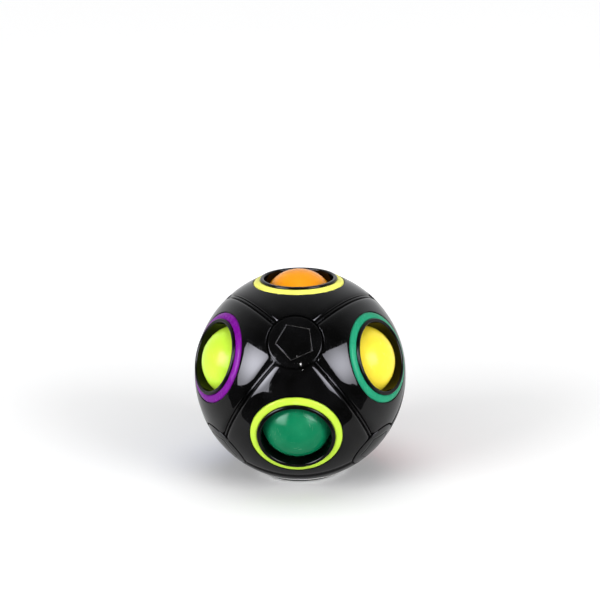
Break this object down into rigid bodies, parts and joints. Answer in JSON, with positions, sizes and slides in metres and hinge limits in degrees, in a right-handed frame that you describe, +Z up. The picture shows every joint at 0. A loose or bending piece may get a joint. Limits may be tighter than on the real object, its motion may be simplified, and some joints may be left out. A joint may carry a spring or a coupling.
{
  "type": "sliding-ball puzzle",
  "caption": "Black football-like hollow sphere with coloured rings around round holes, holding coloured balls that press in and move to the one empty hole.",
  "frame": {"origin": "on the resting plane, straight below the middle of the sphere, at the centre of the empty bottom hole's lip", "axes": "+Z up through the top hole, -Y towards the front cap, +X to the right seen from the front"},
  "size_m": [0.065, 0.0658, 0.0642],
  "materials": {
    "shell_black": "glossy moulded black plastic",
    "bezel_black": "glossy moulded black plastic",
    "cap_black": "glossy moulded black plastic",
    "sponge": "open-cell sponge rubber",
    "ring_yellow": "semi-gloss coloured plastic",
    "ring_purple": "semi-gloss coloured plastic",
    "ring_green": "semi-gloss coloured plastic",
    "ring_orange": "semi-gloss coloured plastic",
    "ring_lime": "semi-gloss coloured plastic",
    "ring_blue": "semi-gloss coloured plastic",
    "ring_pink": "semi-gloss coloured plastic",
    "ring_white": "semi-gloss coloured plastic",
    "ball_orange": "satin coloured plastic",
    "ball_lime": "satin coloured plastic",
    "ball_yellow": "satin coloured plastic",
    "ball_purple": "satin coloured plastic",
    "ball_green": "satin coloured plastic",
    "ball_blue": "satin coloured plastic",
    "ball_red": "satin coloured plastic"
  },
  "bodies": {
    "body": {"front_shell": "shell_black", "rear_shell": "shell_black", "sponge_core": "sponge", "bezel_top": "bezel_black", "bezel_upper_left": "bezel_black", "bezel_upper_right": "bezel_black", "bezel_upper_back": "bezel_black", "bezel_lower_front": "bezel_black", "bezel_lower_back_left": "bezel_black", "bezel_lower_back_right": "bezel_black", "bezel_bottom": "bezel_black", "ring_top": "ring_yellow", "ring_upper_left": "ring_purple", "ring_upper_right": "ring_green", "ring_upper_back": "ring_orange", "ring_lower_front": "ring_lime", "ring_lower_back_left": "ring_blue", "ring_lower_back_right": "ring_pink", "ring_bottom": "ring_white", "cap_front": "cap_black", "cap_upper_right": "cap_black", "cap_upper_left": "cap_black", "cap_rear": "cap_black", "cap_lower_left": "cap_black", "cap_lower_right": "cap_black"},
    "orange_ball": {"ball_orange": "ball_orange"},
    "lime_ball": {"ball_lime": "ball_lime"},
    "yellow_ball": {"ball_yellow": "ball_yellow"},
    "purple_ball": {"ball_purple": "ball_purple"},
    "green_ball": {"ball_green": "ball_green"},
    "blue_ball": {"ball_blue": "ball_blue"},
    "red_ball": {"ball_red": "ball_red"}
  },
  "joints": [
    {"name": "orange_press", "type": "slide", "parent": "body", "child": "orange_ball", "axis": [0, 0, 1], "range_m": [-0.005, 0], "stiffness_N_per_m": 400, "springref_m": 0.002, "deforming": ["sponge_core"]},
    {"name": "lime_press", "type": "slide", "parent": "body", "child": "lime_ball", "axis": [0.8165, 0.4714, -0.3333], "range_m": [0, 0.005], "stiffness_N_per_m": 400, "springref_m": -0.002, "deforming": ["sponge_core"]},
    {"name": "yellow_press", "type": "slide", "parent": "body", "child": "yellow_ball", "axis": [-0.8165, 0.4714, -0.3333], "range_m": [0, 0.005], "stiffness_N_per_m": 400, "springref_m": -0.002, "deforming": ["sponge_core"]},
    {"name": "purple_press", "type": "slide", "parent": "body", "child": "purple_ball", "axis": [0, -0.9428, -0.3333], "range_m": [0, 0.005], "stiffness_N_per_m": 400, "springref_m": -0.002, "deforming": ["sponge_core"]},
    {"name": "green_swap", "type": "hinge", "parent": "body", "child": "green_ball", "pos_m": [0, -0.02056, 0.00183], "axis": [-1, 0, 0], "range_deg": [0, 72], "deforming": ["sponge_core"]},
    {"name": "blue_press", "type": "slide", "parent": "body", "child": "blue_ball", "axis": [-0.8165, 0.4714, -0.3333], "range_m": [-0.005, 0], "stiffness_N_per_m": 400, "springref_m": 0.002, "deforming": ["sponge_core"]},
    {"name": "red_swap", "type": "hinge", "parent": "body", "child": "red_ball", "pos_m": [0.0178, 0.01028, 0.00183], "axis": [-0.5, 0.866, 0], "range_deg": [-72, 0], "deforming": ["sponge_core"]}
  ]
}
